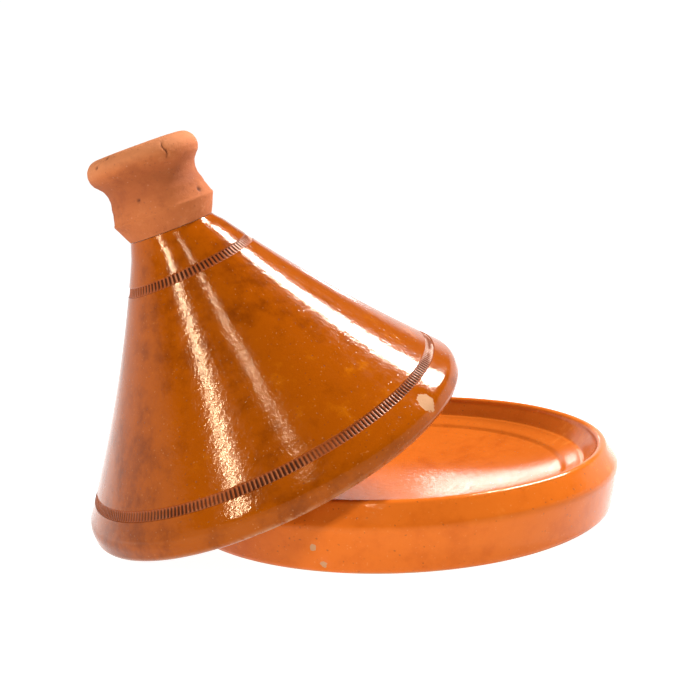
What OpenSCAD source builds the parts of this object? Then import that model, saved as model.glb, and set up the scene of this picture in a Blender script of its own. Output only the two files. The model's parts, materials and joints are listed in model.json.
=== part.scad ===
// Tagine pot: a shallow glazed dish and a tall conical lid with an unglazed knob.
// The lid leans on the rim of the dish, with its lower edge on the table.
// Origin: centre of the underside of the dish. +Z is up, and the lid leans towards -X.

/* [Dish] */
// Widest radius of the dish, at the shoulder of its rim
dish_r = 148; // [146:1:156]
// Height of the dish, to the top of its rim
dish_h = 40; // [38:0.5:44]
// Thickness of the clay in the middle of the dish
floor_t = 9; // [7:0.5:11]
// Radius of the rounding where the wall meets the underside
foot_round = 4; // [2:0.5:6]

/* [Lid] */
// Widest radius of the lid, just above its lower edge
lid_r = 126.5; // [122:0.5:128]
// Height of the cone, from its lower edge to the joint with the knob
cone_h = 152; // [148:1:156]
// Outer radius of the cone at the joint with the knob
neck_r = 26; // [24:0.5:27]
// Thickness of the clay in the lid
wall_t = 8; // [6:0.5:9]
// Width of the flat lip on the lower edge of the lid
lip_w = 14; // [12.5:0.5:16]
// How far the flank curves inwards from a straight cone
flank_sag = 4.5; // [0:0.25:6]

/* [Decorated bands] */
// Height of the middle of the lower band
low_band_h = 24; // [22:0.5:27]
// Height of the middle of the upper band
high_band_h = 128; // [122:1:132]
// Height of the lower band
low_band_w = 5; // [3:0.5:7]
// Height of the upper band
high_band_w = 5.5; // [3:0.5:7]
// Depth of the groove that each band lies in
band_depth = 0.8; // [0.4:0.1:1.2]

/* [Knob] */
// Height of the knob, from the cone to the top of its lip
knob_h = 51.5; // [48:0.5:56]
// Radius of the ridge round the collar of the knob
collar_r = 32; // [30:0.5:34]
// Radius of the waist of the knob
waist_r = 28; // [26:0.5:29]
// Radius of the rolled lip of the knob, to its outside
lip_r = 34.5; // [33:0.5:36]
// Radius of the roll of that lip
lip_roll = 9.5; // [8:0.5:10]
// Depth of the cup in the top of the knob
cup_depth = 20; // [14:1:24]
// How far the hand-set knob is out of line with the cone, in degrees
knob_tilt = 4; // [0:0.5:6]

/* [Pose] */
// How far the lid leans over, in degrees
lean = 22.5; // [18:0.5:25]
// Distance from the axis of the dish to the middle of the lid's lower edge
lean_offset = 80; // [78:1:92]

/* [Hidden] */
$fn = 128;

// Points of an arc round the centre c, from the angle a to the angle b
function arc(c, r, a, b, n = 8) =
    [for (i = [0:n]) c + r * [cos(a + (b - a) * i / n), sin(a + (b - a) * i / n)]];

// Dish, outside: the wall leans out a little, and the rim falls away from its top to the shoulder
foot_r = 0.975 * dish_r;
crest_r = 0.93 * dish_r;
shoulder_h = dish_h - 7.5;
shoulder_round = 7;
crest_round = 4;
// Dish, inside: a ledge with a small step at each side of it, then a shallow bowl
ledge_out_r = 0.835 * dish_r;
ledge_in_r = 0.76 * dish_r;
ledge_h = dish_h - 13;
ledge_step = 1.2;
bowl_h = dish_h - 18;

function bowl(r) = floor_t + (bowl_h - ledge_step - floor_t) * pow(r / ledge_in_r, 3);

module dish_outline() {
    polygon(concat(
        [[0, 0]],
        arc([foot_r - foot_round, foot_round], foot_round, -90, -10),
        arc([dish_r - shoulder_round, shoulder_h - shoulder_round], shoulder_round, -10, 34, 5),
        arc([crest_r, dish_h - crest_round], crest_round, 34, 172),
        [[ledge_out_r + 2, ledge_h + 1.2], [ledge_out_r, ledge_h], [ledge_out_r - 1, ledge_h - ledge_step]],
        [[ledge_in_r + 1, bowl_h], [ledge_in_r, bowl_h - ledge_step]],
        [for (i = [9:-1:0]) [ledge_in_r * i / 10, bowl(ledge_in_r * i / 10)]]
    ));
}

module dish() {
    color("peru") rotate_extrude() dish_outline();
}

// Lid: a flat lip with rounded corners, a short skirt that turns in, and a flank that curves inwards
edge_round = 4.5;
lip_in_r = lid_r - lip_w;
lip_in_round = 3;
skirt_round = 11;
skirt_h = 7;
skirt_turn = 40;
flank_h0 = skirt_h + skirt_round * sin(skirt_turn);
flank_r0 = lid_r - skirt_round * (1 - cos(skirt_turn));
crown_h = cone_h - 9;
top_h = cone_h + 3;

function flank(h) =
    let (t = (h - flank_h0) / (cone_h - flank_h0))
    flank_r0 + (neck_r - flank_r0) * t - 4 * flank_sag * t * (1 - t);
function inner_flank(h) = flank(h) - 1.25 * wall_t;

// Outline of the groove that a decorated band lies in, from its lower edge to its upper edge
function groove(h, w) = [
    [flank(h - w / 2), h - w / 2],
    [flank(h - w / 2) - band_depth, h - w / 2 + 0.3],
    [flank(h + w / 2) - band_depth, h + w / 2 - 0.3],
    [flank(h + w / 2), h + w / 2]
];

module cone_outline() {
    low = low_band_h + low_band_w;
    high = high_band_h - high_band_w;
    above = high_band_h + high_band_w;
    polygon(concat(
        arc([lip_in_r + lip_in_round, lip_in_round], lip_in_round, -180, -90, 4),
        arc([lid_r - edge_round, edge_round], edge_round, -90, 0, 6),
        arc([lid_r - skirt_round, skirt_h], skirt_round, 0, skirt_turn, 6),
        groove(low_band_h, low_band_w),
        [for (i = [0:10]) let (h = low + (high - low) * i / 10) [flank(h), h]],
        groove(high_band_h, high_band_w),
        [for (i = [0:3]) let (h = above + (top_h - above) * i / 3) [flank(h), h]],
        [[0, top_h], [0, crown_h]],
        arc([inner_flank(crown_h) - 8, crown_h - 8], 8, 90, 35, 4),
        [for (i = [10:-1:0]) let (h = 16 + (crown_h - 22) * i / 10) [inner_flank(h), h]],
        [[lip_in_r, 8]]
    ));
}

module lid_cone() {
    color("chocolate") leaning() difference() {
        rotate_extrude() cone_outline();
        knob_seat() translate([-50, -50, 0]) cube([100, 100, 20]);
    }
}

// Knob: a collar, a waist and a rolled lip round a cup
collar_h = 12.5;
waist_h = 27;
cup_r = lip_r - 2 * lip_roll;

module knob_outline() {
    polygon(concat(
        [[0, 0], [neck_r, 0], [neck_r + 3, 4.5]],
        arc([collar_r - 2, collar_h - 1], 2, -30, 50, 5),
        [[(collar_r + waist_r) / 2 - 0.5, 19]],
        arc([waist_r + 12, waist_h], 12, 205, 150, 6),
        arc([lip_r - lip_roll, knob_h - lip_roll], lip_roll, -35, 180, 18),
        [for (i = [0:6]) [cup_r * cos(15 * i), knob_h - lip_roll - (cup_depth - lip_roll) * sin(15 * i)]]
    ));
}

module lid_knob() {
    color("tan") leaning() knob_seat() rotate_extrude() knob_outline();
}

// The knob's own frame, on the slanting joint at the top of the cone
module knob_seat() {
    translate([0, 0, cone_h]) rotate([0, knob_tilt, 0]) children();
}

// The lid's own frame, with its lower edge in the plane z = 0, laid over to its leaning pose
module leaning() {
    lift = (lid_r - edge_round) * sin(lean) + edge_round * (1 - cos(lean));
    translate([-lean_offset, 0, lift]) rotate([0, -lean, 0]) children();
}

dish();
lid_cone();
lid_knob();
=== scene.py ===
import json
import math

import bpy
import numpy as np
from mathutils import Matrix, Vector


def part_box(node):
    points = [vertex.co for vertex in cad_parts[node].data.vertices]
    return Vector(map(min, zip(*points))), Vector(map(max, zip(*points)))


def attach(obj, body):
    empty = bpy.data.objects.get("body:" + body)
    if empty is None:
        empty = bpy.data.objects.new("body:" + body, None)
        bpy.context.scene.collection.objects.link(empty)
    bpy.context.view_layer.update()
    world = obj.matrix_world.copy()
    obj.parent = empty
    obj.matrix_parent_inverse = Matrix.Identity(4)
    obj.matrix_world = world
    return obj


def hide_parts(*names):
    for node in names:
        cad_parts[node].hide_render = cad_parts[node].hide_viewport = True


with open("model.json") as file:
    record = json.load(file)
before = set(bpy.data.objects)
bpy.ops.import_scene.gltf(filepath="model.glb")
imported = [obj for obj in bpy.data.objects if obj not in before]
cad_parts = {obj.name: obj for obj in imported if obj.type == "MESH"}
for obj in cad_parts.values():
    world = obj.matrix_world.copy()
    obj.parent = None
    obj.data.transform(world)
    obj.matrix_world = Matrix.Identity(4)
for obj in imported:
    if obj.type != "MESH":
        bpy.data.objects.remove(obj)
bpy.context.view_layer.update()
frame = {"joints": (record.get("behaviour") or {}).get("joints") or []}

# ---------------------------------------------------------------- places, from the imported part
LEAN = math.radians(frame["joints"][0]["range_deg"][1])
dish_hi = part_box("dish")[1]
cone_lo, cone_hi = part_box("lid_cone")
MM = 0.001
# the dish: its radius at the shoulder of the rim, and its height
DISH_R, DISH_H = dish_hi.x, dish_hi.z
# the cone: its widest radius, the rounding of its lower edge, its height, and its radius at the knob
LID_R = cone_hi.y
EDGE = 4.5 * MM
CONE_H = 152 * MM
NECK_R = 26 * MM
LIP_IN_R = LID_R - 14 * MM
# the skirt above the lip: radius of its arc, height of the arc's centre, and how far it turns in
SKIRT, SKIRT_H, TURN = 11 * MM, 7 * MM, math.radians(40)
KNOB_TILT = math.radians(4)
# where the lid and its knob stand, in the row's frame
offset = -cone_lo.x - SKIRT_H * math.sin(LEAN) - (LID_R - SKIRT) * math.cos(LEAN) - SKIRT
lift = (LID_R - EDGE) * math.sin(LEAN) + EDGE * (1 - math.cos(LEAN))
LID_PLACE = Matrix.Translation((-offset, 0, lift)) @ Matrix.Rotation(-LEAN, 4, "Y")
KNOB_PLACE = LID_PLACE @ Matrix.Translation((0, 0, CONE_H)) @ Matrix.Rotation(KNOB_TILT, 4, "Y")


# ---------------------------------------------------------------- shape tools
def arc(c, r, a, b, n=8):
    t = np.radians(np.linspace(a, b, n + 1))
    return [(c[0] + r * math.cos(x), c[1] + r * math.sin(x)) for x in t]


def resample(points, step):
    """Adds points so that no stretch of the outline is longer than step."""
    out = []
    for (x0, y0), (x1, y1) in zip(points[:-1], points[1:]):
        n = max(1, math.ceil(math.hypot(x1 - x0, y1 - y0) / step))
        out += [(x0 + (x1 - x0) * i / n, y0 + (y1 - y0) * i / n) for i in range(n)]
    return np.array(out + [points[-1]])


def lattice(p, seed):
    """Smooth noise from -1 to 1 at the points p, the same on every run."""
    i = np.floor(p).astype(np.int64)
    f = p - i
    f = f * f * (3 - 2 * f)

    def corner(dx, dy, dz):
        x = ((i[..., 0] + dx) * 73856093) ^ ((i[..., 1] + dy) * 19349663) ^ ((i[..., 2] + dz) * 83492791)
        x = (x ^ (seed * 2654435761)) & 0xFFFFFFFF
        x = ((x ^ (x >> 13)) * 1274126177) & 0xFFFFFFFF
        return ((x ^ (x >> 16)) & 0xFFFF) / 32767.5 - 1

    total = 0
    for dx in (0, 1):
        for dy in (0, 1):
            for dz in (0, 1):
                w = abs(1 - dx - f[..., 0]) * abs(1 - dy - f[..., 1]) * abs(1 - dz - f[..., 2])
                total = total + w * corner(dx, dy, dz)
    return total


def fractal(p, scale, octaves, seed):
    total, size = 0, 1.0
    for k in range(octaves):
        total = total + size * lattice(p * scale * 2**k, seed + k)
        size *= 0.5
    return total / 2


class Lathe:
    """A turned form: an outline of (radius, height), turned round the Z axis, before it becomes a mesh."""

    def __init__(self, outline, segments):
        self.base = np.array(outline)
        r, z = self.base[:, 0], self.base[:, 1]
        dr, dz = np.gradient(r), np.gradient(z)
        length = np.maximum(np.hypot(dr, dz), 1e-12)
        self.normal = np.stack([dz / length, -dr / length], 1)
        self.on_axis = r < 1e-9
        angle = np.arange(segments) * 2 * math.pi / segments
        self.r = np.repeat(r[:, None], segments, 1)
        self.z = np.repeat(z[:, None], segments, 1)
        self.a = np.repeat(angle[None], len(r), 0)
        self.marks = {}

    def points(self):
        return np.stack([self.r * np.cos(self.a), self.r * np.sin(self.a), self.z], -1)

    def push(self, depth):
        """Moves every point inwards by depth, along the outline's normal."""
        self.r = self.r - depth * self.normal[:, 0:1]
        self.z = self.z - depth * self.normal[:, 1:2]
        self.r[self.on_axis] = 0

    def spot(self, height, angle_deg, size, flat=0.0):
        """1 at a place on the surface, falling to 0 at the distance size from it."""
        turn = np.angle(np.exp(1j * (self.a - math.radians(angle_deg))))
        dist = np.hypot(turn * np.maximum(self.r, 1e-6), self.z - height) / size
        return np.clip((1 - dist) / (1 - flat), 0, 1)

    def add_chips(self, chips, where):
        """Marks the chips that lie in the region where, and gives their depth."""
        depth, mark = 0, np.zeros_like(self.r)
        for height, angle_deg, size, deep in chips:
            s = self.spot(height, angle_deg, 1.7 * size) * where
            depth = depth + deep * np.clip(2.2 * s, 0, 1)
            mark = np.maximum(mark, s)
        self.marks["chip"] = mark
        return depth

    def mesh(self, name, place, closed=False, sharp=35):
        """Makes the object in the row's frame. closed joins the outline's last point to its first."""
        pts = self.points()
        n, m = pts.shape[:2]
        index = np.zeros((n, m), int)
        keep = []
        for i in range(n):
            if self.on_axis[i]:
                index[i] = len(keep)
                keep.append((i, 0))
            else:
                index[i] = np.arange(len(keep), len(keep) + m)
                keep += [(i, j) for j in range(m)]
        keep = np.array(keep)
        verts = pts[keep[:, 0], keep[:, 1]]
        faces = []
        for i in range(n if closed else n - 1):
            j = (i + 1) % n
            lo, hi = index[i], index[j]
            lo2, hi2 = np.roll(lo, -1), np.roll(hi, -1)
            if self.on_axis[i] and self.on_axis[j]:
                continue
            if self.on_axis[i]:
                faces += [(int(lo[0]), int(q), int(p)) for p, q in zip(hi, hi2)]
            elif self.on_axis[j]:
                faces += [(int(p), int(q), int(hi[0])) for p, q in zip(lo, lo2)]
            else:
                faces += np.stack([lo, lo2, hi2, hi], 1).tolist()
        turn, shift = np.array(place.to_3x3()), np.array(place.translation)
        me = bpy.data.meshes.new(name)
        me.from_pydata((verts @ turn.T + shift).tolist(), [], faces)
        own = me.attributes.new("own", "FLOAT_VECTOR", "POINT")
        own.data.foreach_set("vector", verts.astype(np.float32).ravel())
        for key, value in self.marks.items():
            at = me.attributes.new(key, "FLOAT", "POINT")
            at.data.foreach_set("value", value[keep[:, 0], keep[:, 1]].astype(np.float32))
        me.update()
        me.shade_smooth()
        me.set_sharp_from_angle(angle=math.radians(sharp))
        ob = bpy.data.objects.new(name, me)
        bpy.context.scene.collection.objects.link(ob)
        return ob


# ---------------------------------------------------------------- the dish
# height, angle in degrees, size and depth of each chip
DISH_CHIPS = (
    (15 * MM, -131, 2.0 * MM, 0.7 * MM),
    (5 * MM, -129, 2.2 * MM, 1.0 * MM),
    (22 * MM, 35, 2.2 * MM, 0.6 * MM),
    (16 * MM, 140, 2.4 * MM, 0.6 * MM),
)


def make_dish():
    foot_r, crest_r = 0.975 * DISH_R, 0.93 * DISH_R
    out_r, in_r = 0.835 * DISH_R, 0.76 * DISH_R
    shoulder_h = DISH_H - 7.5 * MM
    ledge_h, bowl_h = DISH_H - 13 * MM, DISH_H - 18 * MM
    step, floor_t = 1.2 * MM, 9 * MM

    def bowl(r):
        return floor_t + (bowl_h - step - floor_t) * (r / in_r) ** 3

    outline = [(0, 0)]
    outline += arc((foot_r - 4 * MM, 4 * MM), 4 * MM, -90, -10)
    outline += arc((DISH_R - 7 * MM, shoulder_h - 7 * MM), 7 * MM, -10, 34, 8)
    outline += arc((crest_r, DISH_H - 4 * MM), 4 * MM, 34, 172, 16)
    outline += arc((out_r + 1.6 * MM, ledge_h + 1.6 * MM), 1.6 * MM, -35, -100, 3)
    outline += [(out_r - 1 * MM, ledge_h - step), (in_r + 1 * MM, bowl_h), (in_r, bowl_h - step)]
    outline += [(in_r * i / 24, bowl(in_r * i / 24)) for i in range(23, -1, -1)]
    form = Lathe(resample(outline, 2.2 * MM), 480)
    p = form.points()
    r, z = form.base[:, 0:1], form.base[:, 1:2]
    inside = (r < out_r) & (z > 5 * MM)
    turned = 0.03 * MM * (1 + np.sin(r / (5.6 * MM) * 2 * math.pi + 2 * lattice(p * 14, 5)))
    uneven = 0.4 * MM * (1 + fractal(p, 12, 2, 11)) + 0.03 * MM * (1 + fractal(p, 120, 2, 31))
    depth = np.where(z > 1 * MM, uneven, 0.05 * MM) + np.where(inside, turned, 0)
    outer = (r > foot_r - 4 * MM) & (z < shoulder_h)
    depth = depth + form.add_chips(DISH_CHIPS, outer)
    form.push(depth)
    # the underside and the edge that it stands on are bare
    form.marks["bare"] = (z < 1.2 * MM) * np.ones_like(form.r)
    form.marks["press"] = np.zeros_like(form.r)
    return form.mesh("dish_pottery", Matrix.Identity(4))


# ---------------------------------------------------------------- the cone of the lid
FLANK_H = SKIRT_H + SKIRT * math.sin(TURN)
FLANK_R = LID_R - SKIRT * (1 - math.cos(TURN))
SAG = 4.5 * MM
# height, width and number of pressed ticks of each decorated band
BANDS = ((24 * MM, 5 * MM, 288), (128 * MM, 5.5 * MM, 96))
LID_CHIPS = ((12.5 * MM, -57, 5.5 * MM, 0.5 * MM), (60 * MM, 80, 3 * MM, 0.4 * MM))


def flank(h):
    t = (h - FLANK_H) / (CONE_H - FLANK_H)
    return FLANK_R + (NECK_R - FLANK_R) * t - 4 * SAG * t * (1 - t)


def make_cone():
    wall = 10 * MM
    crown = CONE_H - 9 * MM
    outline = arc((LIP_IN_R + 3 * MM, 3 * MM), 3 * MM, 180, 270, 4)
    outline += arc((LID_R - EDGE, EDGE), EDGE, -90, 0, 7)
    outline += arc((LID_R - SKIRT, SKIRT_H), SKIRT, 0, math.degrees(TURN), 7)
    marks = []
    for h, w, _ in BANDS:
        marks += [h - w / 2, h - w / 2 + 0.35 * MM, h + w / 2 - 0.35 * MM, h + w / 2]
    heights = sorted(set(marks + list(np.linspace(FLANK_H + 1.2 * MM, CONE_H - 0.3 * MM, 96))))
    kept = [heights[0]]
    for h in heights[1:]:
        if h - kept[-1] > 0.3 * MM:
            kept.append(h)
    outline += [(flank(h), h) for h in kept]
    outline += [(NECK_R, CONE_H), (0, CONE_H)]
    inner = [(0, crown)]
    inner += arc((flank(crown) - wall - 8 * MM, crown - 8 * MM), 8 * MM, 90, 35, 5)
    inner += [(flank(h) - wall, h) for h in np.linspace(crown - 6 * MM, 16 * MM, 40)]
    inner += [(LIP_IN_R, 8 * MM)]
    form = Lathe(np.concatenate([resample(outline, 4 * MM), resample(inner, 4 * MM)]), 1440)
    r, z = form.base[:, 0:1], form.base[:, 1:2]
    outside = (r > flank(np.maximum(z, FLANK_H)) - 2.5 * MM) & (z < CONE_H - 0.1 * MM) & (z > 3 * MM)
    p = form.points()
    uneven = 0.5 * MM * (1 + fractal(p, 9, 2, 3)) + 0.02 * MM * (1 + fractal(p, 130, 2, 71))
    thrown = 0.012 * MM * (1 + np.sin(z / (9 * MM) * 2 * math.pi + 3 * lattice(p * 12, 9)))
    depth = np.where(z > 0.6 * MM, uneven * np.clip(z / (6 * MM), 0.1, 1), 0.05 * MM) + thrown * (z > 12 * MM)
    depth = np.where(z > CONE_H - 1 * MM, 0.3 * MM, depth)
    press = np.zeros_like(form.r)
    for h, w, ticks in BANDS:
        t = (z - h) / (w / 2)
        within = np.clip((1 - np.abs(t)) / 0.15, 0, 1) * outside
        wave = 0.5 + 0.5 * np.cos(form.a * ticks + 0.5 * lattice(p * 30, 41))
        nick = np.clip((wave - 0.35) / 0.35, 0, 1) * np.clip((0.92 - np.abs(t)) / 0.12, 0, 1)
        strength = np.clip(0.8 + 0.45 * lattice(p * 45, 51), 0.3, 1)
        depth = depth + within * (0.55 * MM + 0.55 * MM * nick * strength)
        press = np.maximum(press, within * (0.45 + 0.55 * nick * strength))
    depth = depth + form.add_chips(LID_CHIPS, outside)
    form.push(depth)
    # the joint with the knob slants, so the top of the cone slants to meet it
    near_top = np.clip((z - (CONE_H - 8 * MM)) / (7 * MM), 0, 1) * (z > CONE_H - 8.5 * MM)
    form.z = form.z - form.r * np.cos(form.a) * math.tan(KNOB_TILT) * near_top
    form.marks["press"] = press
    patchy = np.clip(1.5 * fractal(p, 30, 3, 91) + 0.35, 0, 1)
    form.marks["bare"] = np.clip((4 * MM - z) / (3 * MM), 0, 1) * (0.3 + 0.5 * patchy)
    # the outline starts and ends at the inner corner of the lip
    return form.mesh("lid_cone_pottery", LID_PLACE, closed=True)


# ---------------------------------------------------------------- the knob
def make_knob():
    height, collar_r, waist_r, lip_r, roll, cup = (x * MM for x in (51.5, 32, 28, 34.5, 9.5, 20))
    collar_h, waist_h = 12.5 * MM, 27 * MM
    cup_r = lip_r - 2 * roll
    outline = [(0, 0), (NECK_R, 0), (NECK_R + 3 * MM, 4.5 * MM)]
    outline += arc((collar_r - 2 * MM, collar_h - 1 * MM), 2 * MM, -30, 50, 6)
    outline += [((collar_r + waist_r) / 2 - 0.5 * MM, 19 * MM)]
    outline += arc((waist_r + 12 * MM, waist_h), 12 * MM, 205, 150, 10)
    outline += arc((lip_r - roll, height - roll), roll, -35, 180, 24)
    for t in np.radians(np.arange(1, 12) * 7.5):
        outline += [(cup_r * math.cos(t), height - roll - (cup - roll) * math.sin(t))]
    outline += [(0, height - cup)]
    form = Lathe(resample(outline, 1.1 * MM), 240)
    p = form.points()
    z = form.base[:, 1:2]
    lumps = 0.8 * MM * (1 + fractal(p, 30, 2, 7)) + 0.06 * MM * (1 + fractal(p, 260, 2, 17))
    rings = 0.04 * MM * (1 + np.sin(z / (3.4 * MM) * 2 * math.pi + 2 * lattice(p * 40, 27)))
    depth = np.where(z > 0.5 * MM, (lumps + rings) * np.clip(z / (5 * MM), 0, 1), 0)
    # a firing crack over the lip, and pits where grit has fallen out
    crack_a = math.radians(-76) + 0.018 * np.sin(z / MM * 0.8)
    d = np.abs(np.angle(np.exp(1j * (form.a - crack_a)))) * form.r
    along = np.clip(1 - np.abs(z - 43 * MM) / (5.5 * MM), 0, 1) ** 0.5 * (form.base[:, 0:1] > lip_r - roll)
    crack = np.clip(1 - d / (0.9 * MM), 0, 1) * along
    depth = depth + 1.6 * MM * crack
    # height and size in mm, and angle in degrees, of each pit
    pits = ((22, -123, 1.6), (47, -153, 1.5), (50, -138, 1.2), (16, -48, 2.2), (14, 150, 1.5), (42, 60, 2.0))
    pit = np.zeros_like(form.r)
    for h, a, size in pits:
        s = form.spot(h * MM, a, size * MM, flat=0.2)
        depth = depth + 0.9 * MM * s
        pit = np.maximum(pit, s)
    form.push(depth)
    form.marks["crack"] = np.maximum(crack, pit)
    # painted light: the knob from the lip up is marked to be painted paler, as if lit from above
    form.marks["lip"] = np.clip((z - 40 * MM) / (6 * MM), 0, 1) * np.ones_like(form.r)
    # painted shade: the waist under the lip is marked to be painted darker, as shade under the lip
    form.marks["neck_painted_shade"] = np.clip(1.3 - np.abs(z - 28 * MM) / (11 * MM), 0, 1) * np.ones_like(form.r)
    return form.mesh("lid_knob_pottery", KNOB_PLACE, sharp=60)


# ---------------------------------------------------------------- materials
class Graph:
    """A short way to write a material's nodes."""

    def __init__(self, name):
        self.m = bpy.data.materials.new(name)
        self.m.use_nodes = True
        self.t = self.m.node_tree
        self.t.nodes.clear()
        self.out = self.node("ShaderNodeOutputMaterial")
        self.shader = self.node("ShaderNodeBsdfPrincipled")
        self.join(self.shader.outputs[0], self.out.inputs["Surface"])
        self.coords = self.node("ShaderNodeAttribute", attribute_name="own").outputs["Vector"]

    def node(self, kind, **values):
        n = self.t.nodes.new(kind)
        for k, v in values.items():
            setattr(n, k, v)
        return n

    def join(self, a, b):
        self.t.links.new(a, b)

    def put(self, value, socket):
        if isinstance(value, bpy.types.NodeSocket):
            self.join(value, socket)
        else:
            socket.default_value = value

    def math(self, op, a, b=0.0, c=0.0, clamp=False):
        n = self.node("ShaderNodeMath", operation=op, use_clamp=clamp)
        for v, s in zip((a, b, c), n.inputs):
            self.put(v, s)
        return n.outputs[0]

    def band(self, value, low, high):
        """0 below low, 1 above high, smooth between. low may be above high."""
        n = self.node("ShaderNodeMapRange", interpolation_type="SMOOTHSTEP")
        self.put(value, n.inputs[0])
        n.inputs[1].default_value, n.inputs[2].default_value = low, high
        return n.outputs[0]

    def noise(self, scale, detail=3.0, rough=0.55, warp=0.0, at=None):
        n = self.node("ShaderNodeTexNoise")
        self.join(at or self.coords, n.inputs["Vector"])
        n.inputs["Scale"].default_value = scale
        n.inputs["Detail"].default_value = detail
        n.inputs["Roughness"].default_value = rough
        n.inputs["Distortion"].default_value = warp
        return n.outputs[0]

    def cells(self, scale, at=None):
        """Distance from the middle of a cell, and two random numbers for each cell."""
        n = self.node("ShaderNodeTexVoronoi", feature="F1")
        self.join(at or self.coords, n.inputs["Vector"])
        n.inputs["Scale"].default_value = scale
        split = self.node("ShaderNodeSeparateColor")
        self.join(n.outputs["Color"], split.inputs[0])
        return n.outputs["Distance"], split.outputs[0], split.outputs[1]

    def mix(self, factor, a, b, mode="MIX"):
        n = self.node("ShaderNodeMix", data_type="RGBA", blend_type=mode)
        self.put(factor, n.inputs[0])
        self.put(a, n.inputs[6])
        self.put(b, n.inputs[7])
        return n.outputs[2]

    def mark(self, name):
        return self.node("ShaderNodeAttribute", attribute_name=name).outputs["Fac"]

    def around(self):
        """The direction from the axis and the height, for marks that go by the turn of the wheel."""
        s = self.node("ShaderNodeSeparateXYZ")
        self.join(self.coords, s.inputs[0])
        x, y, z = s.outputs
        length = self.math("SQRT", self.math("ADD", self.math("MULTIPLY", x, x), self.math("MULTIPLY", y, y)))
        c = self.node("ShaderNodeCombineXYZ")
        safe = self.math("ADD", length, 1e-4)
        self.join(self.math("DIVIDE", x, safe), c.inputs[0])
        self.join(self.math("DIVIDE", y, safe), c.inputs[1])
        self.join(self.math("MULTIPLY", z, 1.2), c.inputs[2])
        return c.outputs[0]

    def bump(self, height, strength, distance, after=None):
        n = self.node("ShaderNodeBump")
        n.inputs["Strength"].default_value = strength
        n.inputs["Distance"].default_value = distance
        self.join(height, n.inputs["Height"])
        if after:
            self.join(after, n.inputs["Normal"])
        return n.outputs[0]


def linear(r, g, b):
    """A colour as it is seen, from 0 to 255, as the linear value that a shader takes."""
    values = np.array((r, g, b)) / 255
    return (*np.where(values <= 0.04045, values / 12.92, ((values + 0.055) / 1.055) ** 2.4).tolist(), 1)


CLAY = linear(190, 140, 100)


def glaze(name, deep, body, thin, rough=0.05):
    g = Graph(name)
    turn = g.around()
    clouds = g.noise(11, 3, 0.5, 0.4)
    mottle = g.noise(75, 5, 0.65)
    grain = g.noise(520, 3, 0.6)
    runs = g.noise(9, 4, 0.6, at=turn)
    tone = g.math("ADD", g.math("MULTIPLY", clouds, 0.45), g.math("MULTIPLY", mottle, 0.47))
    tone = g.math("ADD", tone, g.math("MULTIPLY", runs, 0.08))
    colour = g.mix(g.band(tone, 0.32, 0.52), deep, body)
    colour = g.mix(g.band(tone, 0.55, 0.74), colour, thin)
    colour = g.mix(g.math("MULTIPLY", g.band(grain, 0.62, 0.8), 0.25), colour, thin)
    # iron specks, pinholes and pale seeds
    wander = g.node("ShaderNodeVectorMath", operation="ADD")
    g.join(g.coords, wander.inputs[0])
    push = g.node("ShaderNodeTexNoise")
    g.join(g.coords, push.inputs["Vector"])
    push.inputs["Scale"].default_value = 700
    shift = g.node("ShaderNodeVectorMath", operation="SCALE")
    g.join(push.outputs["Color"], shift.inputs[0])
    shift.inputs["Scale"].default_value = 0.0016
    g.join(shift.outputs[0], wander.inputs[1])
    far, pick, _ = g.cells(420, wander.outputs[0])
    hole = g.math("MULTIPLY", g.band(far, 0.3, 0.12), g.band(pick, 0.84, 0.88))
    colour = g.mix(g.math("MULTIPLY", hole, 0.5), colour, linear(96, 38, 8))
    far, pick, _ = g.cells(640, wander.outputs[0])
    seed = g.math("MULTIPLY", g.band(far, 0.34, 0.14), g.band(pick, 0.86, 0.9))
    colour = g.mix(g.math("MULTIPLY", seed, 0.16), colour, linear(236, 176, 116))
    # fine scratches and rubbed places
    scratch = g.noise(34, 8, 0.85, 2.5)
    rubbed = g.math("MULTIPLY", g.band(scratch, 0.64, 0.7), 0.35)
    colour = g.mix(rubbed, colour, linear(235, 160, 90))
    press = g.mark("press")
    colour = g.mix(g.math("MULTIPLY", g.band(press, 0.05, 0.4), 0.75), colour, linear(150, 70, 30))
    colour = g.mix(g.band(press, 0.5, 0.95), colour, linear(66, 26, 10))
    bare = g.math("MULTIPLY", g.mark("bare"), g.band(g.noise(90, 5, 0.7), 0.38, 0.52))
    chip = g.band(g.math("ADD", g.mark("chip"), g.math("MULTIPLY", g.noise(260, 4, 0.65), 0.7)), 0.72, 0.8)
    open_clay = g.math("MAXIMUM", bare, chip)
    colour = g.mix(open_clay, colour, CLAY)
    g.join(colour, g.shader.inputs["Base Color"])
    dull = g.band(g.noise(26, 4, 0.6, at=turn), 0.45, 0.62)
    gloss = g.math("ADD", rough, g.math("MULTIPLY", g.noise(60, 4, 0.7), 0.06))
    gloss = g.math("ADD", gloss, g.math("MULTIPLY", dull, 0.04))
    worn = g.band(g.noise(240, 4, 0.75), 0.53, 0.45)
    gloss = g.math("ADD", gloss, g.math("MULTIPLY", worn, 0.05))
    gloss = g.math("ADD", gloss, g.math("MULTIPLY", hole, 0.25))
    gloss = g.math("MAXIMUM", gloss, g.math("MULTIPLY", open_clay, 0.8))
    gloss = g.math("MAXIMUM", gloss, g.math("MULTIPLY", press, 0.75))
    g.join(gloss, g.shader.inputs["Roughness"])
    g.shader.inputs["IOR"].default_value = 1.4
    g.shader.inputs["Specular IOR Level"].default_value = 0.4
    g.shader.inputs["Specular Tint"].default_value = (1, 0.74, 0.44, 1)
    peel = g.math("MULTIPLY", g.noise(120, 2, 0.5), 0.7)
    peel = g.math("ADD", peel, g.math("MULTIPLY", g.noise(480, 3, 0.6), 1.1))
    peel = g.math("SUBTRACT", peel, g.math("MULTIPLY", hole, 0.5))
    n = g.bump(peel, 0.28, 0.0003)
    g.join(n, g.shader.inputs["Normal"])
    return g.m


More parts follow.
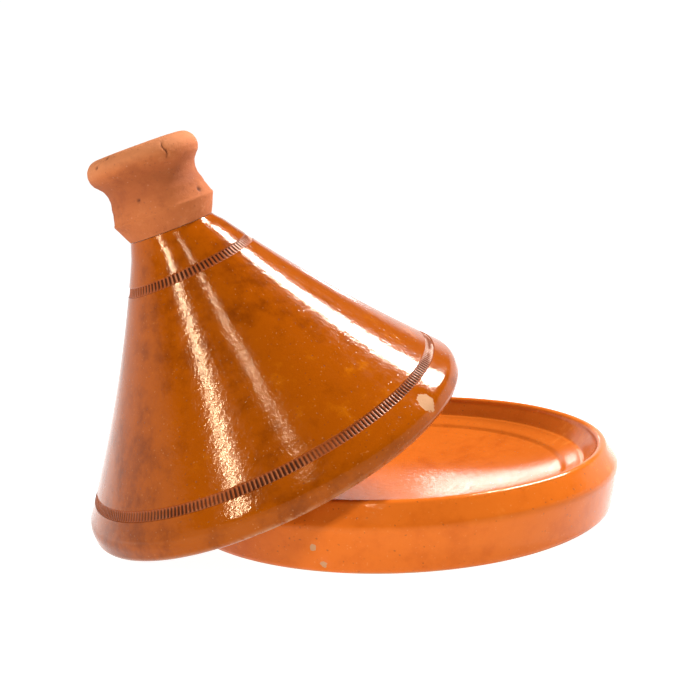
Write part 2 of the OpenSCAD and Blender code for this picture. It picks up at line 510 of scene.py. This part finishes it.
def terracotta(name):
    g = Graph(name)
    clouds = g.noise(26, 3, 0.5, 0.6)
    mottle = g.noise(150, 5, 0.7)
    grain = g.noise(900, 4, 0.75)
    tone = g.math("ADD", g.math("MULTIPLY", clouds, 0.5), g.math("MULTIPLY", mottle, 0.5))
    colour = g.mix(g.band(tone, 0.36, 0.5), linear(162, 84, 38), linear(180, 98, 48))
    colour = g.mix(g.band(tone, 0.52, 0.66), colour, linear(194, 114, 64))
    # painted light: the lip is painted paler, as if lit from above
    colour = g.mix(g.math("MULTIPLY", g.mark("lip"), 0.35), colour, linear(214, 142, 92))
    # painted shade: the waist under the lip is painted darker
    colour = g.mix(g.math("MULTIPLY", g.mark("neck_painted_shade"), 0.5), colour, linear(132, 60, 22))
    far, pick, other_pick = g.cells(700)
    grit = g.math("MULTIPLY", g.band(far, 0.42, 0.25), g.band(pick, 0.9, 0.92))
    colour = g.mix(g.math("MULTIPLY", grit, 0.4), colour, linear(130, 72, 44))
    pale = g.math("MULTIPLY", g.band(far, 0.42, 0.25), g.band(other_pick, 0.96, 0.97))
    colour = g.mix(g.math("MULTIPLY", pale, 0.12), colour, linear(238, 190, 150))
    colour = g.mix(g.mark("crack"), colour, linear(96, 46, 24))
    g.join(colour, g.shader.inputs["Base Color"])
    rough = g.math("ADD", 0.78, g.math("MULTIPLY", mottle, 0.2))
    g.join(rough, g.shader.inputs["Roughness"])
    g.shader.inputs["IOR"].default_value = 1.4
    n = g.bump(mottle, 0.6, 0.0008)
    n = g.bump(g.math("SUBTRACT", grain, g.math("MULTIPLY", grit, 0.4)), 0.7, 0.0003, n)
    g.join(n, g.shader.inputs["Normal"])
    return g.m


lid_glaze = glaze("lid_glaze", linear(124, 52, 1), linear(160, 74, 2), linear(202, 110, 8))
dish_glaze = glaze("dish_glaze", linear(196, 90, 20), linear(212, 104, 28), linear(232, 134, 54), 0.05)
bare_clay = terracotta("bare_clay")

for make, body, node, slot, material in (
    (make_dish, "dish", "dish", "dish_glaze", dish_glaze),
    (make_cone, "lid", "lid_cone", "lid_glaze", lid_glaze),
    (make_knob, "lid", "lid_knob", "bare_clay", bare_clay),
):
    piece = make()
    piece.data.materials.append(material)
    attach(piece, body)
    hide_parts(node)

# ---------------------------------------------------------------- floor, light and camera
FLOOR_HALF = 12.0
corners = [(x * FLOOR_HALF, y * FLOOR_HALF, 0) for x, y in ((-1, -1), (1, -1), (1, 1), (-1, 1))]
floor_mesh = bpy.data.meshes.new("floor")
floor_mesh.from_pydata(corners, [], [(0, 1, 2, 3)])
floor = bpy.data.objects.new("floor", floor_mesh)
bpy.context.scene.collection.objects.link(floor)
floor.location.z = -0.0003
g = Graph("floor_paper")
g.shader.inputs["Base Color"].default_value = (0.35, 0.35, 0.35, 1)
g.shader.inputs["Roughness"].default_value = 0.9
g.shader.inputs["Emission Color"].default_value = (1, 1, 1, 1)
g.shader.inputs["Emission Strength"].default_value = 0.97
floor_mesh.materials.append(g.m)

# the studio is bright up to a little above the horizon and dark overhead: sines of the elevations
# between which it changes, and its strength below and above them
SINE_FROM, SINE_TO, BRIGHT, DARK = 0.27, 0.36, 1.05, 0.05
world = bpy.data.worlds.new("studio")
bpy.context.scene.world = world
world.use_nodes = True
wt = world.node_tree
wt.nodes.clear()
w_out = wt.nodes.new("ShaderNodeOutputWorld")
w_bg = wt.nodes.new("ShaderNodeBackground")
w_co = wt.nodes.new("ShaderNodeTexCoord")
w_sep = wt.nodes.new("ShaderNodeSeparateXYZ")
w_map = wt.nodes.new("ShaderNodeMapRange")
w_map.interpolation_type = "SMOOTHSTEP"
wt.links.new(w_co.outputs["Generated"], w_sep.inputs[0])
wt.links.new(w_sep.outputs[2], w_map.inputs[0])
for k, v in enumerate((SINE_FROM, SINE_TO, BRIGHT, DARK), start=1):
    w_map.inputs[k].default_value = v
w_bg.inputs["Color"].default_value = (1, 1, 1, 1)
wt.links.new(w_map.outputs[0], w_bg.inputs["Strength"])
wt.links.new(w_bg.outputs[0], w_out.inputs["Surface"])

LIGHT_CENTRE = Vector((-0.06, 0, 0.1))
LIGHT_DISTANCE = 1.8


def softbox(name, direction, width, height, radiance):
    """A rectangle of light, in the given direction from the middle of the object."""
    light = bpy.data.lights.new(name, "AREA")
    light.shape = "RECTANGLE"
    light.size, light.size_y = width, height
    light.energy = radiance * math.pi * width * height
    ob = bpy.data.objects.new(name, light)
    bpy.context.scene.collection.objects.link(ob)
    d = Vector(direction).normalized()
    ob.location = LIGHT_CENTRE + LIGHT_DISTANCE * d
    ob.rotation_mode = "QUATERNION"
    ob.rotation_quaternion = d.to_track_quat("Z", "Y")
    ob.visible_camera = False


softbox("softbox_right", (0.63, 0.21, 0.75), 0.14, 0.8, 190)
softbox("softbox_left", (-0.74, -0.35, 0.57), 0.045, 0.6, 190)
softbox("softbox_front", (-0.34, -0.52, 0.785), 0.035, 0.12, 190)
softbox("softbox_low", (0.48, 0.83, 0.2), 0.16, 0.06, 14)

# the camera, at the photograph's viewing angle: its bearing round the object, its rise and its roll
BEARING, RISE, ROLL = math.radians(20.85), math.radians(8.17), math.radians(-2.78)
DISTANCE = 0.6
# what it aims at: the distance to the side of the dish's axis, and the height
AIM_X, AIM_Z = -0.02524, 0.1006
# the width of the picture, and how much of it a millimetre at the aim takes up, both in pixels
PICTURE, PER_MM = 700, 1.493
aim = Vector((AIM_X * math.cos(BEARING), -AIM_X * math.sin(BEARING), AIM_Z))
back = Vector((-math.sin(BEARING) * math.cos(RISE), -math.cos(BEARING) * math.cos(RISE), math.sin(RISE)))
cam = bpy.data.cameras.new("camera")
cam.sensor_width = 36
cam.lens = cam.sensor_width * PER_MM * DISTANCE * 1000 / PICTURE
cam.clip_start, cam.clip_end = 0.02, 60
cam_ob = bpy.data.objects.new("camera", cam)
bpy.context.scene.collection.objects.link(cam_ob)
cam_ob.location = aim + DISTANCE * back
cam_ob.rotation_mode = "QUATERNION"
cam_ob.rotation_quaternion = back.to_track_quat("Z", "Y") @ Matrix.Rotation(ROLL, 4, "Z").to_quaternion()
bpy.context.scene.camera = cam_ob
bpy.context.scene.view_settings.view_transform = "Standard"
